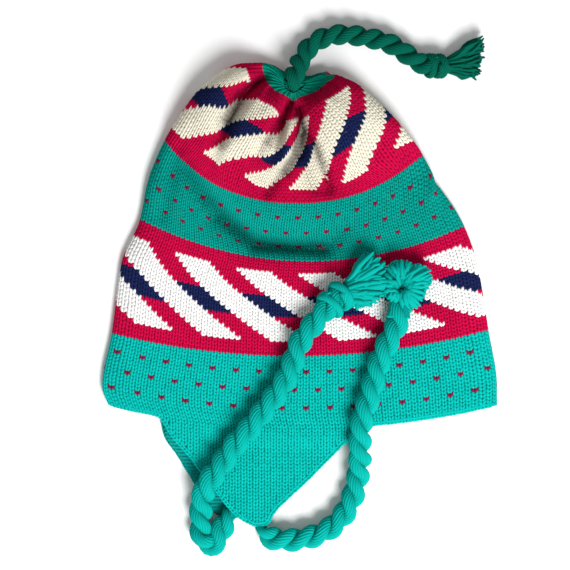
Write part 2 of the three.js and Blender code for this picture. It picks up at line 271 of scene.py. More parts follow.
napeTie = {
    "node": "nape_tie", "diameter": 0.0153, "material": "cordGreen", "slim": 0.012, "end": "knot",
    "route": [
        (-44.2, -133.5, 4.3), (-46.2, -140.1, 8), (-48.6, -146.6, 7.6), (-51.2, -152.7, 7.6),
        (-55.4, -155.5, 7.6), (-59.6, -152.8, 7.6), (-61.3, -146.3, 7.6), (-61.4, -138, 8),
        (-61, -130, 10.1), (-59.2, -121.5, 15.2), (-55.1, -113.8, 18.4), (-49.3, -106, 19),
        (-42.6, -95.5, 19.3), (-32.7, -84.3, 22.3), (-24, -73.2, 23.6), (-15.3, -62, 25),
        (-7.9, -50.2, 26.2), (-3.2, -38.4, 27.1), (0.5, -28.5, 27.5), (5.8, -21.1, 27.7),
        (11, -14.3, 27.8), (16, -8.6, 27.8), (21.8, -3.6, 27.8), (27.5, 2.2, 27.5),
    ],
    "wraps": [
        ((0.0188, -0.0062, 0.0278), 44, 0.0076, 1.3, 0.0028),
        ((0.0247, -0.0004, 0.0278), 36, 0.0078, 1.3, 0.0034),
    ],
    "tassel": {
        "root": (0.0275, 0.0022, 0.0272), "neck": 0.0064, "flatness": 0.75, "rise": -0.001,
        "yarns": 210, "yarnRadius": 0.0016, "seed": 5,
        "spread": [(-56, 0.009), (-36, 0.0145), (-11, 0.0215), (17, 0.0285), (34, 0.0295), (60, 0.0265)],
    },
}
frontTie = {
    "node": "front_tie", "diameter": 0.0153, "material": "cordGreen", "slim": 0.013, "end": "bare",
    "route": [
        (-25.2, -142.5, 6.2), (-21.4, -149, 8), (-15.9, -151.6, 7.6), (-7.3, -152.5, 7.6),
        (3.3, -151.3, 7.6), (13.2, -148.2, 7.6), (21.3, -143.2, 7.6), (27.5, -136.4, 7.6),
        (31.8, -128.3, 7.8), (34.9, -119, 8.6), (36.8, -108.5, 11), (37.4, -97.3, 18), (37.1, -86.2, 22),
        (38.6, -75, 23.8), (42.3, -63.2, 24.6), (45.5, -52.1, 25.2), (48.8, -40.9, 25.6),
        (54.1, -29.1, 25.8), (59.1, -19.2, 25.8), (61.3, -10.5, 25.8), (62, -6.5, 25.8),
    ],
    "wraps": [],
    "tassel": {
        "root": (0.0604, -0.0138, 0.0258), "centre": (0.0618, 0.0058, 0.0272), "neck": 0.0064,
        "yarns": 210, "yarnRadius": 0.0015, "seed": 6,
        "paintedShadePlace": 0.46, "paintedShadeReach": 0.2,   # where along the yarns the shade lies, and how far it reaches
        "spread": [(-95, 0.0135), (-75, 0.0155), (-48, 0.0175), (-29, 0.0155), (-4, 0.0172), (15, 0.0205),
                   (27, 0.0205), (45, 0.0185), (57, 0.015), (83, 0.0158), (111, 0.015), (150, 0.0125),
                   (190, 0.0112), (225, 0.0115), (255, 0.0125)],
    },
}


def between(a, b, first, last, t):
    return (a * (last - t) + b * (t - first)) / (last - first)


def smoothRoute(points, perSpan=10):
    points = np.array(points, float)
    ends = np.vstack([2 * points[0] - points[1], points, 2 * points[-1] - points[-2]])
    line = []
    for p0, p1, p2, p3 in zip(ends, ends[1:], ends[2:], ends[3:]):
        t1 = norm(p1 - p0) ** 0.5
        t2 = t1 + norm(p2 - p1) ** 0.5
        t3 = t2 + norm(p3 - p2) ** 0.5
        for t in np.linspace(t1, t2, perSpan, endpoint=False):
            a1, a2, a3 = between(p0, p1, 0, t1, t), between(p1, p2, t1, t2, t), between(p2, p3, t2, t3, t)
            line.append(between(between(a1, a2, 0, t2, t), between(a2, a3, t1, t3, t), t1, t2, t))
    line.append(points[-1])
    return np.array(line)


def curveObject(name, lines):
    data = bpy.data.curves.new(name, "CURVE")
    data.dimensions = "3D"
    for line in lines:
        spline = data.splines.new("POLY")
        spline.points.add(len(line) - 1)
        spline.points.foreach_set("co", np.column_stack([line, np.ones(len(line))]).ravel())
    return addObject(name, data)


def plied(graph, curve, count, radius, pitch, turn, along):    # turn is -1 to the left, 1 to the right
    copies = graph.add("DuplicateElements", {"Geometry": curve, "Amount": count}, {"domain": "SPLINE"})
    angle = (along / pitch + copies["Duplicate Index"] / count) * (2 * pi * turn)
    normal = graph.add("InputNormal")
    side = graph.vector("CROSS_PRODUCT", graph.add("InputTangent"), normal)
    offset = graph.vector("ADD", graph.scaled(normal, graph.math("COSINE", angle)),
                          graph.scaled(side, graph.math("SINE", angle)))
    return graph.add("SetPosition", {"Geometry": copies, "Offset": graph.scaled(offset, radius)})


def ropeTree():
    graph, given = geometryTree("twistedCord", {"Int": ["strands", "yarns"], "Float": [
        "strandOffset", "strandRadius", "yarnRadius", "strandPitch", "yarnPitch", "slim", "step",
    ]})
    along = graph.add("SplineParameter", output="Length")
    rise = along / graph.math("MAXIMUM", given["slim"], 0.0001)
    size = graph.math("MINIMUM", rise * (1 - rope["slimmest"]) + rope["slimmest"], 1.0)
    line = graph.add("ResampleCurve", {"Curve": given["Geometry"], "Length": given["step"]}, {"mode": "LENGTH"})
    offset = given["strandOffset"] * size
    strands = plied(graph, line, given["strands"], offset, given["strandPitch"], -1, along)
    yarns = plied(graph, strands, given["yarns"], given["strandRadius"] * size, given["yarnPitch"], 1, along)
    toned = graph.store(yarns, "tone", graph.chance(7), "CURVE")
    sized = graph.add("SetCurveRadius", {"Curve": toned, "Radius": size})
    mesh = graph.tube(sized, rope["sides"], given["yarnRadius"], size)
    return finishTree(graph, mesh, given["Material"])


twistedCord = ropeTree()
wool = {name: woolMaterial(name + "Wool", colour) for name, colour in yarnColours.items()}
print("wool materials:", len(wool))


def spin(cord, node, name, lines, tree, values):
    values = {**values, "Material": wool[cord["material"]]}
    piece = grow(curveObject(name + "_lines", lines), tree, values, name)
    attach(piece, "root")
    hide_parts(node)
    return piece


wrap = {
    "strands": 1, "strandOffset": 0.0, "strandRadius": 0.0016, "strandPitch": 1.0,
    "yarns": 7, "yarnRadius": 0.0009, "yarnPitch": 0.017, "slim": 0.0, "flatness": 0.86, "points": 40,
    "firstAngle": -1.0, "nextAngle": 2.4,   # where each wrap starts round the cord
    "shift": 0.0024,                        # along the cord, from a wrap's start to its end
}
cutYarn = {
    "sides": 5, "steps": 9, "paintedShadePlace": 0.0, "paintedShadeReach": 0.0,
    "stray": 2, "shortest": -0.12, "longest": 0.03, "wave": 0.0011,   # degrees, shares of the length, metres
    "fattest": 0.6, "taper": 0.4, "tip": 0.86, "tipTaper": 2.6,       # along a yarn
    "hub": 0.0048, "hubRise": 0.0026, "pit": 0.0056, "pitDrop": 0.0034, "layer": 0.0014,   # of the splayed one
}
up = np.array([0, 0, 1.0])


def heading(angle):
    return np.array([cos(angle), sin(angle), 0])


def makeKnot(cord):
    made = []
    for index, (centre, degrees, radius, turns, lean) in enumerate(cord["wraps"]):
        forward = heading(radians(degrees))
        side = np.array([-forward[1], forward[0], 0])
        angles = np.linspace(0, 2 * pi * turns, wrap["points"])
        angles = angles + index * wrap["nextAngle"] + wrap["firstAngle"]
        shifts = np.linspace(-0.5, 0.5, wrap["points"]) * wrap["shift"]
        line = [np.array(centre) + forward * (lean * sin(angle) + shift) + side * radius * cos(angle)
                + up * (radius * wrap["flatness"] * sin(angle))
                for angle, shift in zip(angles, shifts)]
        name = cord["node"] + "_knot_wrap" + str(index + 1)
        made.append(spin(cord, cord["node"] + "_knot", name, [line], twistedCord, {**rope, **wrap}))
    return made


def yarnTree():
    graph, given = geometryTree("cutYarns", {
        "Int": ["steps"], "Float": ["yarnRadius", "paintedShadePlace", "paintedShadeReach"],
    })
    line = graph.add("ResampleCurve", {"Curve": given["Geometry"], "Count": given["steps"]}, {"mode": "COUNT"})
    toned = graph.store(line, "tone", graph.chance(9), "CURVE")
    along = graph.add("SplineParameter", output="Factor")
    plump = (1.0 - graph.math("ABSOLUTE", along - cutYarn["fattest"]) * cutYarn["taper"]
             - graph.math("MAXIMUM", along - cutYarn["tip"], 0.0) * cutYarn["tipTaper"])
    # painted shade of the tassel's pit: the yarns are darkened round one place along them
    away = graph.math("ABSOLUTE", along - given["paintedShadePlace"])
    dark = graph.math("MAXIMUM", 1.0 - away / graph.math("MAXIMUM", given["paintedShadeReach"], 0.001), 0.0)
    shaded = graph.store(toned, "fold", graph.math("MINIMUM", dark * 1.8, 1.0), "POINT")
    mesh = graph.tube(shaded, cutYarn["sides"], given["yarnRadius"], plump)
    return finishTree(graph, mesh, given["Material"])


cutYarns = yarnTree()


def brushYarn(tassel, angle, length, level, share, wave):
    root = np.array(tassel["root"])
    middle = radians((tassel["spread"][0][0] + tassel["spread"][-1][0]) / 2)
    across = heading(middle + pi / 2)
    height = tassel["neck"] * tassel["flatness"]
    start = (root + across * tassel["neck"] * (share * 2 - 1) * 0.8
             + up * level * height * sin(pi * share))
    far = root + heading(angle) * length + up * (level * height * 1.15 + tassel["rise"])
    bow = (far - start) * 0.34 + (heading(angle) * 0.2 + heading(middle) * 0.8) * 0.001
    lift = up * level * 0.0012
    return [start, start + bow + lift + wave[0] * 0.5, start + (far - start) * 0.68 + lift + wave[1],
            far + wave[2]]


def splayedYarn(tassel, angle, length, level, wave):
    root, centre = np.array(tassel["root"]), np.array(tassel["centre"])
    ahead = (centre - root) / norm(centre - root)
    beside = np.array([-ahead[1], ahead[0], 0])
    swing = angle - atan2(ahead[1], ahead[0])
    layer = level * cutYarn["layer"]
    start = root + beside * tassel["neck"] * sin(swing) + up * level * tassel["neck"] * 0.8
    pit = centre - ahead * cutYarn["pit"] + heading(angle) * 0.0026 - up * (cutYarn["pitDrop"] - layer)
    hub = centre + heading(angle) * cutYarn["hub"] + up * (cutYarn["hubRise"] + layer)
    far = centre + heading(angle) * length + up * (level * 0.0034 - 0.0012)
    return [start, pit, hub + wave[1], (hub + far) / 2 + up * 0.0014 + wave[2], far]


def makeTassel(cord):
    tassel = cord["tassel"]
    chance = np.random.default_rng(tassel["seed"])
    angles, lengths = np.array(tassel["spread"], float).T
    lines = []
    for i in range(tassel["yarns"]):
        share = (i + 0.5) / tassel["yarns"]
        degrees = angles[0] + (angles[-1] - angles[0]) * share + chance.normal() * cutYarn["stray"]
        length = np.interp(degrees, angles, lengths)
        length *= 1 + chance.uniform(cutYarn["shortest"], cutYarn["longest"])
        level = chance.uniform(-1, 1)
        wave = chance.normal(0, cutYarn["wave"], (3, 3))
        if "centre" in tassel:
            line = splayedYarn(tassel, radians(degrees), length, level, wave)
        else:
            line = brushYarn(tassel, radians(degrees), length, level, share, wave)
        line = [(x, y, max(z, tassel["yarnRadius"])) for x, y, z in line]    # none below the floor
        lines.append(smoothRoute(line, 4))
    name = cord["node"] + "_tassel"
    return spin(cord, name, name + "_yarns", lines, cutYarns, {**cutYarn, **tassel})


def makeCord(cord):
    line = smoothRoute(np.array(cord["route"]) / 1000)
    sizes = ("strandOffset", "strandRadius", "yarnRadius", "strandPitch", "yarnPitch")
    values = {**rope, "slim": cord["slim"], **{name: rope[name] * cord["diameter"] for name in sizes}}
    piece = spin(cord, cord["node"], cord["node"] + "_rope", [line], twistedCord, values)
    ends = makeKnot(cord) + [makeTassel(cord)]
    length = float(norm(np.diff(line, axis=0), axis=1).sum())
    print("cord", cord["node"], "length", round(length, 4), "faces", len(piece.data.polygons))


for cord in (topCord, napeTie, frontTie):
    makeCord(cord)


knit = {
    "wales": 132,              # columns of stitches round the head
    "rim": 104,                # rows of stitches from the gather to the rim
    "flapRows": 30,
    "rowHeight": 0.00224,      # in the earflaps
    "thickness": 0.0025,
    "sunk": 0.0012,            # the plain backing lies this far under the stitches
    "chart": 160,              # stitches along one side of the flat chart, which is the surface's UV map
    "fullWale": 0.0031,        # where the wales are this wide, stitches reach their full height
    "leastReach": 0.48,        # and this share of it where they are drawn in
    "unevenness": 0.05,
}
crownCourses = [0, 8, 12, 21.5, 31.5]    # rows of the gather and of the four places of each fold
gather = {"centre": (-4, 129.5, 11.5), "radius": 3}
crownFolds = [  # wale, then the fold's place at ring, head, waist and foot, in millimetres
    (0, (-23, 144.3, 10), (-35, 144, 11), (-60, 130, 11), (-79, 105, 9)),
    (4, (-23, 141, 14), (-33, 140, 19), (-54, 123, 23), (-70, 96, 19)),
    (9, (-22, 137, 14), (-31, 135, 21), (-46, 110, 27), (-58, 88, 23)),
    (12, (-21, 134, 12), (-29, 129, 14), (-43, 109, 19), (-53, 85, 23)),
    (16, (-19, 131, 13), (-26, 121.5, 21), (-36, 103, 26), (-48, 80, 25)),
    (20, (-15, 127, 13), (-16, 116, 24), (-25, 96, 30), (-35, 75, 26)),
    (25, (-9, 124, 12), (-10, 109, 17), (-16, 88, 22), (-25, 68, 25)),
    (30, (-6, 122, 12), (-7, 108, 21), (-8, 87, 29), (-13, 66, 26)),
    (34, (-5, 121, 12), (-1, 110, 21), (-4, 86, 26), (-3, 66, 25)),
    (39, (-3, 121, 11), (0.5, 109, 12), (2.5, 87, 17), (9, 66, 22)),
    (45, (-1, 122.5, 12), (3, 110, 20), (12, 90, 27), (27, 70, 26)),
    (52, (9, 126, 13), (16, 120, 27), (32, 103, 33), (43, 79, 28)),
    (57, (17, 132, 13), (27, 127, 24), (45, 110, 26), (60, 92, 22)),
    (61, (22, 136, 10), (32, 133, 12), (51, 118, 12), (70, 97, 10)),
    (66, (17, 136.5, 9), (29, 134, 6), (44, 113, 3), (61, 93, 2)),
    (69, (14, 136.5, 8), (26, 134, 3), (39, 109, 0), (54, 89, 0)),
    (78, (8, 136.5, 7), (15, 134, 0), (24, 106, 0), (34, 84, 0)),
    (96, (-3, 136, 6), (-2, 133, 0), (-4, 107, 0), (-6, 83, 0)),
    (114, (-12, 140, 7), (-20, 139, 0), (-34, 113, 0), (-44, 86, 0)),
    (129, (-20, 143.8, 8), (-32, 143.5, 4), (-55, 125, 0), (-72, 98, 0)),
]
bodySections = [  # row, left, right, heights of edge and middle, sags, leans, wale on the forehead edge
    (36, (-84.3, 96.3), (76, 86.8), 6, 26, 35, 15, -4, -4.5, 61),
    (46, (-95, 70), (91, 66), 5, 23, 31, 15, -2, -3, 65),
    (56, (-99.7, 47.2), (102.7, 43), 4, 21, 24, 13, 0, -1, 66),
    (66.5, (-111, 21), (111, 19), 4, 20, 20, 12, 0, 0, 66),
    (84, (-117.3, -23.6), (117.9, -21.5), 4, 19, 15, 9, 0, 0, 66),
    (99, (-123.3, -57), (123.3, -57), 4, 16, 14, 10, 0, 0, 66),
    (104, (-119.5, -68.5), (123.3, -68.4), 4, 15, 14, 11, 0, 0, 66),
]
roundness = 0.42    # of the upper layer from edge to edge, lower is fuller
turnedUnder = 3     # wales beyond each edge that still rise from the floor
# folds pressed into the upper layer: x, y, half width and depth along each line of them
dents = [[(-72, 78, 11, 3.5), (-50, 50, 10, 6), (-28, 33, 9, 6), (18, 31)]]
creases = [
    [(-72, 80, 4.5, 2.6), (-50, 49, 4.5, 4.2), (-28, 32, 4.5, 4.6), (14, 29, 4.5, 2.6), (28, 42)],
    [(-22, 136, 3.5, 5), (-37, 124, 4, 7), (-45, 108, 4.5, 4), (-50, 96)],
    [(-5.4, 119.7, 3, 4), (-10.4, 108.5, 4, 5), (-19, 95, 4, 2.5), (-24, 86)],
    [(-1, 115, 3.5, 5), (1, 102, 4, 7), (-2, 87, 4, 6), (-9, 77, 4, 3), (-20, 63)],
    [(2, 102, 3, 3.5), (9, 93.5, 3, 4.5), (12, 85, 3, 4), (16, 77, 3, 3), (18, 66)],
    [(-75, 90, 5, 2), (-84, 50)],
]
foldLines = [  # the shade in the sharpest folds: x, y, half width and strength
    [(-21.5, 136, 2.2, 0.7), (-37, 124, 2.2, 0.8), (-44.5, 108.5, 2, 0.5), (-48, 100)],
    [(-5.4, 119.7, 2, 0.7), (-13, 107, 2, 0.5), (-23.4, 88.7)],
    [(-1, 114.7, 2, 0.9), (0.8, 102.3, 2.2, 0.9), (-2.3, 87.4, 2.2, 0.8), (-8.5, 77.5, 2, 0.6), (-19.7, 62.6)],
    [(2, 102.3, 1.8, 0.7), (8.9, 93.6, 1.8, 0.8), (12, 84.9, 1.8, 0.7), (16, 74, 1.8, 0.5), (18.8, 66.3)],
    [(-74, 83, 4, 0.3), (-57, 59, 4.5, 0.6), (-40.7, 42.8, 4.5, 0.75), (-29, 32.9, 4.5, 0.8),
     (-6, 29, 4.5, 0.7), (15.7, 30.4)],
]
shade = {"soft": 0.75, "softDepth": 6.5, "softPower": 1.3, "sharp": 0.65, "above": 0.006}    # of the folds
puckers = {"wales": 5.5, "row": 6, "rows": 9, "depth": 1.6}    # ribs drawn in by the gather
shoulder = {"row": 40.5, "rows": 4, "wale": 63, "wales": 4, "out": 4.5}    # fullness of the forehead edge
frontFlap = {
    "wales": (8.8, 44), "chart": (8, 45), "edgeColumn": 141,
    "left": [(-79, -88), (-67, -102), (-57.5, -115), (-48.5, -127), (-39, -137.5), (-27.5, -144)],
    "right": [(30, -90), (16, -104), (2.5, -117.5), (-9.5, -128.5), (-16, -135.5), (-19.5, -143)],
    "height": [11.5, 10.3, 9.6, 9.4, 9.3, 9.3],
}
backFlap = {
    "wales": (88, 123.2), "chart": (87, 124.5), "edgeColumn": 146,
    "left": [(-84, -88), (-75, -101.5), (-67, -115), (-59.5, -126.5), (-53.5, -135), (-46.5, -139.5)],
    "right": [(27, -88), (12, -101.5), (-3, -115), (-20, -126), (-31, -133.5), (-40, -139.5)],
    "height": [0, 0, 0, 0, 0, 0],
}
flaps = (frontFlap, backFlap)
flapCourses = [0, 6, 12, 18, 23, 27, 30]    # the rim, then the points of each side
flapBlend = 0.016    # below the rim, over which a flap's height changes from the rim's to its own
edging = {
    "rowHeight": 0.0023, "inset": 0.0009, "halfWidth": 0.0034, "lift": 0.0002, "drop": 0.0011,
    "across": 9, "sidePoints": 60, "nearPoints": 12, "farPoints": 24, "smoothings": 5,
    "stitchMargin": 0.0022,    # the flap's own stitches stop this far inside its edge
}


def smoothThrough(stations, values, at):
    stations, values, at = (np.asarray(each, float) for each in (stations, values, at))
    spread = (-1,) + (1,) * (values.ndim - 1)
    width = np.diff(stations).reshape(spread)
    rise = np.diff(values, axis=0)
    slope = rise / width
    before, after = slope[:-1], slope[1:]
    agree = before * after > 0
    inner = np.where(agree, 2 * before * after / np.where(agree, before + after, 1), 0)
    tangent = np.concatenate([slope[:1], inner, slope[-1:]])
    i = np.clip(np.searchsorted(stations, at) - 1, 0, len(stations) - 2)
    t = (at.reshape(spread) - stations[i].reshape(spread)) / width[i]
    bend = tangent[i] * width[i] - rise[i]
    bendNext = rise[i] - tangent[i + 1] * width[i]
    return values[i] + t * rise[i] + t * (1 - t) * ((1 - t) * bend + t * bendNext)


def courseRound(points, wales):
    at = np.array([row[0] for row in crownFolds], float)
    points = np.array(points, float)
    stations = np.concatenate([at[-3:] - knit["wales"], at, at[:3] + knit["wales"]])
    return smoothThrough(stations, np.concatenate([points[-3:], points, points[:3]]), wales)


def sectionPoints(section):
    left, right, edge, middle, sagFront, sagBack, leanMiddle, leanSide, edgeWale = section[1:]
    points = []
    for row in crownFolds:
        wale = row[0]
        inFront = wale <= edgeWale
        across = wale / edgeWale if inFront else (knit["wales"] - wale) / (knit["wales"] - edgeWale)
        bow = 1 - (2 * across - 1) ** 2
        lean = leanMiddle * sin(pi * across) + leanSide * sin(2 * pi * across)
        x = left[0] + (right[0] - left[0]) * across + (lean if inFront else 0)
        y = left[1] + (right[1] - left[1]) * across - (sagFront if inFront else sagBack) * bow
        back = edge * max(0, 1 - min(wale - edgeWale, knit["wales"] - wale) / turnedUnder)
        points.append((x, y, edge + (middle - edge) * bow ** roundness if inFront else back))
    return points


def gatherPoints():
    centre = Vector(gather["centre"])
    points = []
    for row in crownFolds:
        away = Vector((row[1][0] - centre.x, row[1][1] - centre.y)).normalized() * gather["radius"]
        points.append((centre.x + away.x, centre.y + away.y, centre.z))
    return points


def dentDepth(x, y, lines):
    depth = np.zeros_like(x)
    for line in lines:
        for start, end in zip(line, line[1:]):
            along = np.subtract(end[:2], start[:2])
            t = np.clip(((x - start[0]) * along[0] + (y - start[1]) * along[1]) / (along @ along), 0, 1)
            distance = np.hypot(x - start[0] - t * along[0], y - start[1] - t * along[1]) / start[2]
            depth = np.maximum(depth, start[3] * np.exp(-distance ** 2))
    return depth


def bodySurface(wales, courses):
    rings = [gatherPoints()] + [[row[1 + i] for row in crownFolds] for i in range(4)]
    rings += [sectionPoints(section) for section in bodySections]
    rounds = np.array([courseRound(points, wales) for points in rings])
    surface = smoothThrough(crownCourses + [section[0] for section in bodySections], rounds, courses)
    turned = np.mod(wales, knit["wales"])
    inFront = (turned > 0) & (turned < knit["wales"] / 2)
    x, y = surface[:, :, 0], surface[:, :, 1]
    surface[:, :, 2] -= np.where(inFront, dentDepth(x, y, dents) + dentDepth(x, y, creases), 0)
    drawn = np.clip(1 - np.abs(courses - puckers["row"]) / puckers["rows"], 0, 1)[:, None]
    rib = np.cos(2 * pi * wales / puckers["wales"])[None, :] ** 2
    surface[:, :, 2] -= np.where(inFront, drawn * (1 - rib) * puckers["depth"], 0)
    full = np.exp(-((courses - shoulder["row"]) / shoulder["rows"]) ** 2)[:, None]
    full = full * np.exp(-((wales - shoulder["wale"]) / shoulder["wales"]) ** 2)[None, :]
    surface[:, :, 0] += shoulder["out"] * full
    return surface / 1000


def flapHeights(flap, y, rimHeight, rimY):
    levels = [(a[1] + b[1]) / 2000 for a, b in zip(flap["left"], flap["right"])]
    heights = np.array(flap["height"]) / 1000
    low = np.interp(-y, [-level for level in levels], heights)
    share = np.clip((rimY - y) / flapBlend, 0, 1)
    return rimHeight + (low - rimHeight) * share * share * (3 - 2 * share)


def rimLine(wales):
    return bodySurface(np.asarray(wales, float), np.array([float(knit["rim"])]))[0]


def flapStitchSurface(flap, wales, rows):
    rim = rimLine(wales)
    y = rim[None, :, 1] - np.asarray(rows)[:, None] * knit["rowHeight"]
    x = np.broadcast_to(rim[None, :, 0], y.shape)
    z = flapHeights(flap, y, rim[None, :, 2], rim[None, :, 1])
    return np.dstack([x, y, z])


def flapOutline(flap):
    rim = rimLine(flap["wales"])
    leftFirst = rim[0, 0] < rim[1, 0]
    ends = [tuple(1000 * point[:2]) for point in (rim if leftFirst else rim[::-1])]
    left = np.array([ends[0]] + flap["left"]) / 1000
    right = np.array([ends[1]] + flap["right"]) / 1000
    return left, right, leftFirst


def sheetNormals(points):
    normals = np.cross(np.gradient(points, axis=0), np.gradient(points, axis=1))
    return normals / np.maximum(norm(normals, axis=2, keepdims=True), 1e-12)


def stitchReach(points, waleStep):
    width = norm(np.gradient(points, axis=1), axis=2) / waleStep
    return np.clip(width / knit["fullWale"], knit["leastReach"], 1.0)


# painted shade in the folds, kept in the fold attribute to darken the stitches' colour
def foldShade(points):
    x, y = points[:, :, 0] * 1000, points[:, :, 1] * 1000
    upper = points[:, :, 2] > shade["above"]
    soft = np.clip(dentDepth(x, y, creases) / shade["softDepth"], 0, 1) ** shade["softPower"]
    sharp = dentDepth(x, y, foldLines)
    return np.where(upper, np.clip(soft * shade["soft"] + sharp * shade["sharp"], 0, 1), 0)


def chartMesh(name, sheets):
    points, normals, reach, fold, faces, chart = [], [], [], [], [], []
    start = 0
    for sheet, wales, rows, isBody in sheets:
        rowCount, waleTotal = len(rows), len(wales)
        points.append(sheet.reshape(-1, 3))
        normals.append(sheetNormals(sheet).reshape(-1, 3))
        reach.append(stitchReach(sheet, wales[1] - wales[0]).ravel())
        fold.append(foldShade(sheet).ravel())
        chart.append(np.stack(np.meshgrid(wales, rows), axis=2).reshape(-1, 2))
        r, w = np.meshgrid(np.arange(rowCount - 1), np.arange(waleTotal - 1), indexing="ij")
        covered = isBody & inFlap(wales[w] + 0.25, rows[r] + 0.25)    # the flaps' own sheets lie there
        a = (r * waleTotal + w)[~covered]
        faces.append(start + np.stack([a, a + waleTotal, a + waleTotal + 1, a + 1], axis=1))
        start += rowCount * waleTotal
    faces, chart = np.concatenate(faces), np.concatenate(chart)
    mesh = bpy.data.meshes.new(name)
    mesh.from_pydata(np.concatenate(points).tolist(), [], faces.tolist())
    # the fold attribute holds the painted shade of the folds
    for label, kind, values in (("outward", "FLOAT_VECTOR", normals), ("reach", "FLOAT", reach),
                                ("fold", "FLOAT", fold)):
        data = mesh.attributes.new(label, kind, "POINT").data
        data.foreach_set("value" if kind == "FLOAT" else "vector", np.concatenate(values).ravel())
    mesh.uv_layers.new(name="chart").data.foreach_set("uv", chart[faces.ravel()].ravel() / knit["chart"])
    return addObject(name, mesh)


def edgeSheet(flap):
    left, right, leftFirst = flapOutline(flap)
    fine = np.linspace(0, knit["flapRows"], edging["sidePoints"])
    near, far = flap["wales"] if leftFirst else flap["wales"][::-1]
    ends = (1.0, 65.0) if leftFirst else (131.0, 67.0)    # of the rim's front or back half
    before = rimLine(np.linspace(ends[0], near, edging["nearPoints"]))
    after = rimLine(np.linspace(far, ends[1], edging["farPoints"]))
    sides = []
    for side, corner in ((left, before[-1]), (right, after[0])):
        flat = smoothThrough(flapCourses, side, fine)
        sides.append(np.column_stack([flat, flapHeights(flap, flat[:, 1], corner[2], corner[1])]))
    outline = np.concatenate([before[:-1], sides[0], sides[1][::-1], after[1:]])
    along = np.concatenate([[0], np.cumsum(norm(np.diff(outline, axis=0), axis=1))])
    at = np.linspace(0, along[-1], int(along[-1] / edging["rowHeight"]) * 2 + 1)
    path = np.column_stack([np.interp(at, along, outline[:, i]) for i in range(3)])
    for _ in range(edging["smoothings"]):
        path[1:-1] = (path[:-2] + 2 * path[1:-1] + path[2:]) / 4
    ahead = np.gradient(path[:, :2], axis=0)
    ahead /= norm(ahead, axis=1, keepdims=True)
    inward = np.column_stack([-ahead[:, 1], ahead[:, 0]])
    across = np.linspace(-1, 1, edging["across"])
    facing = 1 if leftFirst else -1
    beside = edging["inset"] + facing * across[None, :, None] * edging["halfWidth"]
    flat = path[:, None, :2] + inward[:, None] * beside
    outside = np.clip(-facing * across, 0, 1)[None, :]
    z = path[:, None, 2] + facing * (edging["lift"] - outside ** 2 * edging["drop"])
    return np.dstack([flat, np.maximum(z, 0)]), across, np.arange(len(path)) / 2


def inFlap(wales, rows):
    front, back = [(wales > flap["chart"][0]) & (wales < flap["chart"][1]) for flap in flaps]
    return (rows > knit["rim"]) & (front | back)


def halves(first, last):
    return np.arange(first, last + 0.01, 0.5)


def stitchSurface():
    bodyWales = halves(-2, knit["wales"] + 2)
    bodyRows = halves(0, knit["rim"] + 1)
    body = bodySurface(bodyWales, np.minimum(bodyRows, knit["rim"]))
    body[-2:] += (body[-3] - body[-4]) * np.array([1, 2])[:, None, None]
    sheets = [(body, bodyWales, bodyRows, True)]
    flapRows = halves(0, knit["flapRows"] + 3)
    for flap in flaps:
        wales = halves(*flap["chart"])
        sheets.append((flapStitchSurface(flap, wales, flapRows), wales, flapRows + knit["rim"], False))
    for flap in flaps:
        sheet, across, rows = edgeSheet(flap)
        sheets.append((sheet, flap["edgeColumn"] + across, rows, False))
    return chartMesh("stitchSurface", sheets)


stitch = {  # one leg of a stitch: across in wales, along in rows, height, half width in wales, half height
    "leg": [
        (0.10, 0.88, -0.0012, 0.00, 0.0),
        (0.15, 0.52, -0.0009, 0.23, 0.0007),
        (0.25, 0.02, -0.0008, 0.26, 0.0008),
        (0.35, -0.50, -0.0009, 0.23, 0.0007),
        (0.40, -0.88, -0.0013, 0.00, 0.0),
    ],
    "slant": 0.16,             # rows that a leg's outer side lies before its inner side
    "sizeChange": 1.2, "shift": (0.8, 0.8, 0.0012),    # times the knit's unevenness
}


def stitchTemplate():
    points, faces = [], []
    slant = stitch["slant"]
    for side in (1, -1):
        start, made = len(points), []
        for across, along, height, halfWidth, halfHeight in stitch["leg"]:
            if halfWidth == 0:
                points.append((side * across, along, height))
            else:
                points += [(side * (across + halfWidth), along + slant, height),
                           (side * across, along, height + halfHeight),
                           (side * (across - halfWidth), along - slant, height),
                           (side * across, along, height - halfHeight)]
        for ring in range(3):
            a = start + 1 + ring * 4
            for i in range(4):
                j = (i + 1) % 4
                if ring == 0:
                    made.append((start, a + j, a + i))
                if ring == 2:
                    made.append((a + i, a + j, len(points) - 1))
                else:
                    made.append((a + i, a + j, a + 4 + j, a + 4 + i))
        faces += [face[::-1] for face in made] if side == 1 else made    # rows run down the hat
    mesh = bpy.data.meshes.new("stitchTemplate")
    mesh.from_pydata(points, [], faces)
    return addObject("stitchTemplate", mesh)


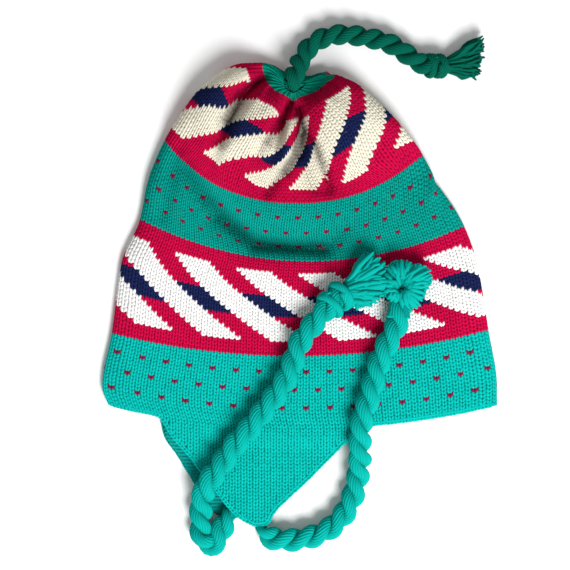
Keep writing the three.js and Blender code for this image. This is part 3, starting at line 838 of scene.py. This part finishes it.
def stitchTree():
    graph, given = geometryTree("knitStitches", {
        "Object": ["Surface", "Stitch"], "Float": ["Unevenness"], "Int": ["Seed"],
    })
    surface = graph.add("ObjectInfo", {"Object": given["Surface"]})["Geometry"]
    shape = graph.add("ObjectInfo", {"Object": given["Stitch"]})["Geometry"]
    loose, change = given["Unevenness"], stitch["sizeChange"]
    size = graph.chance(given["Seed"], {2: 1.0 - loose * change, 3: 1.0 + loose * change})
    stitches = graph.add("InstanceOnPoints", {
        "Points": given["Geometry"], "Instance": shape,
        "Scale": graph.add("ShaderNodeCombineXYZ", {0: size, 1: size, 2: 1.0}),
    })
    farthest = stitch["shift"]
    shift = graph.add("FunctionNodeRandomValue", {
        0: tuple(-most for most in farthest), 1: farthest, "Seed": given["Seed"],
    }, {"data_type": "FLOAT_VECTOR"})
    shifted = graph.add("TranslateInstances", {
        "Instances": stitches, "Translation": graph.scaled(shift, loose), "Local Space": False,
    })
    toned = graph.store(shifted, "tone", graph.chance(3), "INSTANCE")
    loops = graph.add("RealizeInstances", {"Geometry": toned})
    chart = graph.read("chart", "FLOAT_VECTOR")
    at = graph.add("InputPosition")
    onChart = graph.scaled(at, 1 / knit["chart"])

    def sampled(kind, value):
        return graph.add("SampleUVSurface", {
            "Mesh": surface, "Value": value, "Source UV Map": chart, "Sample UV": onChart,
        }, {"data_type": kind})
    # the painted shade of the folds, carried onto the stitches
    shadePainted = graph.store(loops, "fold", sampled("FLOAT", graph.read("fold")), "POINT")
    lift = graph.add("ShaderNodeSeparateXYZ", {0: at}, output="Z") * sampled("FLOAT", graph.read("reach"))
    outward = sampled("FLOAT_VECTOR", graph.read("outward", "FLOAT_VECTOR"))
    laid = graph.add("SetPosition", {
        "Geometry": shadePainted,
        "Position": graph.vector("ADD", sampled("FLOAT_VECTOR", at), graph.scaled(outward, lift)),
    })
    return finishTree(graph, laid, given["Material"])


bands = [  # first row, the row after the last, yarn of the stripes, and how they lean and start
    (8, 36, "cream", 1, -4),
    (56, 84, "white", -1, -9),
]
stripes = {"border": 4, "rows": 20, "wales": 7, "apart": 12, "navy": (7, 12)}
dots = {40: 1, 45: 3, 50: 1, 88: 2, 93: 0, 98: 2}    # row, and the first dot's wale, of every four


def yarnAt(wale, row):
    if row < bands[0][0]:
        return "ringGreen"
    for first, end, yarn, lean, start in bands:
        if first <= row < end:
            inner = row - first - stripes["border"]
            if inner < 0 or inner >= stripes["rows"]:
                return "crimson"
            if (wale + lean * inner + start) % stripes["apart"] < stripes["wales"]:
                return yarn
            return "navy" if stripes["navy"][0] <= inner <= stripes["navy"][1] else "crimson"
    if row in dots and wale % 4 == dots[row]:
        return "dotRed"
    return "upperGreen" if row < bands[1][0] else "green"


def insideFlap(flap, x, y):
    left, right, _ = flapOutline(flap)
    low = np.interp(-y, -left[:, 1], left[:, 0]) + edging["stitchMargin"]
    high = np.interp(-y, -right[:, 1], right[:, 0]) - edging["stitchMargin"]
    return (x > low) & (x < high) & (y > min(left[-1, 1], right[-1, 1]) - 0.001)


def stitchPlan():
    plan = {}
    for row in range(2, knit["rim"]):
        for wale in range(knit["wales"]):
            plan.setdefault(yarnAt(wale, row), []).append((wale, row + 0.5, 0))
    for flap in flaps:
        wales = np.arange(ceil(flap["wales"][0]), int(flap["wales"][1]) + 1.0)
        rows = np.arange(0.5, knit["flapRows"] + 1)
        sheet = flapStitchSurface(flap, wales, rows)
        for r, w in zip(*np.nonzero(insideFlap(flap, sheet[:, :, 0], sheet[:, :, 1]))):
            plan["green"].append((wales[w], knit["rim"] + rows[r], 0))
    for flap in flaps:
        rows = range(1, int(edgeSheet(flap)[2][-1]) - 1)
        plan["green"] += [(flap["edgeColumn"], row + 0.5, 0) for row in rows]
    return plan


backing = {
    "flapColumns": 25, "flapRows": 17,
    "ridge": 0.3, "fibreScale": 900.0, "fibreChange": 0.2,
    "dark": (0.0, 0.015, 0.02, 1.0), "darkShare": 0.75, "darkChange": 0.42,    # painted shade between the ridges
    "bump": 0.9, "bumpDepth": 0.0009, "fibreBump": 0.25,
}


def backingSheets():
    wales = np.arange(-1, knit["wales"] + 1.1)
    rows = np.arange(0, knit["rim"] + 1, 2.0)
    body = bodySurface(wales, rows)
    sheets = [(body[:, 1:-1], sheetNormals(body)[:, 1:-1], wales[1:-1], rows)]
    for flap in flaps:
        left, right, leftFirst = flapOutline(flap)
        fine = np.concatenate([[0], np.linspace(flapCourses[1], flapCourses[-1], backing["flapRows"])])
        sides = (left, right) if leftFirst else (right, left)
        edges = [smoothThrough(flapCourses, side, fine) for side in sides]
        columns = np.linspace(*flap["wales"], backing["flapColumns"])
        share = np.linspace(0, 1, backing["flapColumns"])[None, :, None]
        flat = edges[0][:, None] * (1 - share) + edges[1][:, None] * share
        rim = rimLine(columns)
        flat[0] = rim[:, :2]
        sheet = np.dstack([flat, flapHeights(flap, flat[:, :, 1], rim[None, :, 2], rim[None, :, 1])])
        sheets.append((sheet, sheetNormals(sheet), columns, fine + knit["rim"]))
    return sheets


def backingMesh():
    points, faces, tints, chart = [], [], [], []
    start = 0
    for sheet, normals, wales, rows in backingSheets():
        rowCount, waleTotal = sheet.shape[:2]
        count = rowCount * waleTotal
        for depth in (knit["sunk"], knit["thickness"]):
            points += (sheet - normals * depth).reshape(-1, 3).tolist()
            chart += np.stack(np.meshgrid(wales, rows), axis=2).reshape(-1, 2).tolist()
        index = np.arange(count).reshape(rowCount, waleTotal)
        a, b, c, d = index[:-1, :-1], index[1:, :-1], index[1:, 1:], index[:-1, 1:]
        outer = np.stack([a, b, c, d], axis=2).reshape(-1, 4)
        isBody = rows[0] == 0
        border = index[-1, ::-1] if isBody else np.concatenate(
            [index[0, :], index[1:, -1], index[-1, -2::-1], index[-2::-1, 0]])
        strip = np.stack([border[:-1], border[1:], border[1:] + count, border[:-1] + count], axis=1)
        made = outer.tolist() + (outer[:, ::-1] + count).tolist() + strip.tolist()
        if isBody:    # the gather is drawn shut, outside and inside
            for shift in (0, count):
                middle = 2 * count + (shift > 0)
                points.append(np.mean(points[start + shift:start + shift + waleTotal - 1], axis=0).tolist())
                chart.append([0.0, 0.0])
                for near, far in zip(index[0, :-1] + shift, index[0, 1:] + shift):
                    made.append([int(near), int(far), middle] if shift == 0 else [int(far), int(near), middle])
        for face in made:
            r, w = divmod(min(face) % count, waleTotal)
            tints += [yarnColours[yarnAt(int(round(wales[w])) % knit["wales"], int(rows[r]))]] * len(face)
        faces += [[start + corner for corner in face] for face in made]
        start = len(points)
    mesh = bpy.data.meshes.new("hat_fabric")
    mesh.from_pydata(points, [], faces)
    corners = [corner for face in faces for corner in face]
    mesh.uv_layers.new(name="chart").data.foreach_set("uv", np.array(chart)[corners].ravel() / knit["chart"])
    colour = mesh.color_attributes.new("yarn", "FLOAT_COLOR", "CORNER")
    colour.data.foreach_set("color", np.array(tints).ravel())
    welded = bmesh.new()
    welded.from_mesh(mesh)
    bmesh.ops.remove_doubles(welded, verts=welded.verts, dist=0.000001)
    print("backing faces", len(welded.faces), "open edges", sum(edge.is_boundary for edge in welded.edges))
    welded.to_mesh(mesh)
    welded.free()
    mesh.shade_smooth()
    return addObject("hat_fabric", mesh)


def backingMaterial():
    material, graph, place = newMaterial("knitBacking")
    yarn = graph.add("Attribute", {}, {"attribute_name": "yarn"}, "Color")
    fibre = graph.add("TexNoise", {"Vector": place, "Scale": backing["fibreScale"], "Detail": 4.0})
    chart = graph.add("UVMap", {}, {"uv_map": "chart"})
    split = graph.add("SeparateXYZ", {0: chart}, output="X")
    turn = 2 * pi * knit["chart"]
    purl = ((graph.math("COSINE", split * turn) * backing["ridge"] + (1 - backing["ridge"]))
            * (graph.math("COSINE", split["Y"] * turn) * 0.5 + 0.5))
    # painted shade: the colour is darkened between the purl ridges, with random fibre tone on top
    dark = graph.mixColour(backing["darkShare"], yarn, backing["dark"])
    tint = graph.mixColour((1.0 - purl) * backing["darkChange"] + fibre * backing["fibreChange"], yarn, dark)
    bump = graph.add("Bump", {
        "Strength": backing["bump"], "Distance": backing["bumpDepth"],
        "Height": purl + fibre * backing["fibreBump"],
    })
    finishMaterial(graph, {"Base Color": tint, "Specular IOR Level": 0.1, "Normal": bump})
    return material


def makeKnit():
    surface, template = stitchSurface(), stitchTemplate()
    tree = stitchTree()
    for seed, (yarn, places) in enumerate(stitchPlan().items()):
        mesh = bpy.data.meshes.new(yarn + "Places")
        mesh.from_pydata(places, [], [])
        piece = grow(addObject(yarn + "Places", mesh), tree, {
            "Surface": surface, "Stitch": template, "Unevenness": knit["unevenness"], "Seed": seed,
            "Material": wool[yarn],
        }, yarn + "_knit")
        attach(piece, "root")
        print("stitches", yarn, len(places), "faces", len(piece.data.polygons))
    for helper in (surface, template):
        bpy.data.objects.remove(helper)
    wall = backingMesh()
    wall.data.materials.append(backingMaterial())
    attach(wall, "root")
    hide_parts("knitted_hat")
    print("knitted hat made")


makeKnit()


studio = {
    "floor": 3.0, "floorTint": 0.9, "floorRoughness": 0.8, "skyLight": 0.42,
    "lamp": (0.45, -0.95, 1.2), "lampSize": 0.8, "lampPower": 35,
}


def makeStage():
    size, tint = studio["floor"], studio["floorTint"]
    mesh = bpy.data.meshes.new("floor")
    corners = [(-size, -size, 0), (size, -size, 0), (size, size, 0), (-size, size, 0)]
    mesh.from_pydata(corners, [], [(0, 1, 2, 3)])
    floor = addObject("floor", mesh)
    material = bpy.data.materials.new("paleFloor")
    material.use_nodes = True
    shader = material.node_tree.nodes["Principled BSDF"]
    shader.inputs["Base Color"].default_value = (tint, tint, tint, 1)
    shader.inputs["Roughness"].default_value = studio["floorRoughness"]
    mesh.materials.append(material)
    world = bpy.data.worlds.new("studio")
    scene.world = world
    world.use_nodes = True
    sky = world.node_tree.nodes["Background"]
    sky.inputs["Color"].default_value = (1, 1, 1, 1)
    sky.inputs["Strength"].default_value = studio["skyLight"]
    light = bpy.data.lights.new("softbox", "AREA")
    light.shape = "DISK"
    light.size = studio["lampSize"]
    light.energy = studio["lampPower"]
    lamp = addObject("softbox", light)
    lamp.location = studio["lamp"]
    lamp.rotation_euler = (-lamp.location).to_track_quat("-Z", "Y").to_euler()


makeStage()
print("floor and light made")
scene.view_settings.view_transform = "Standard"
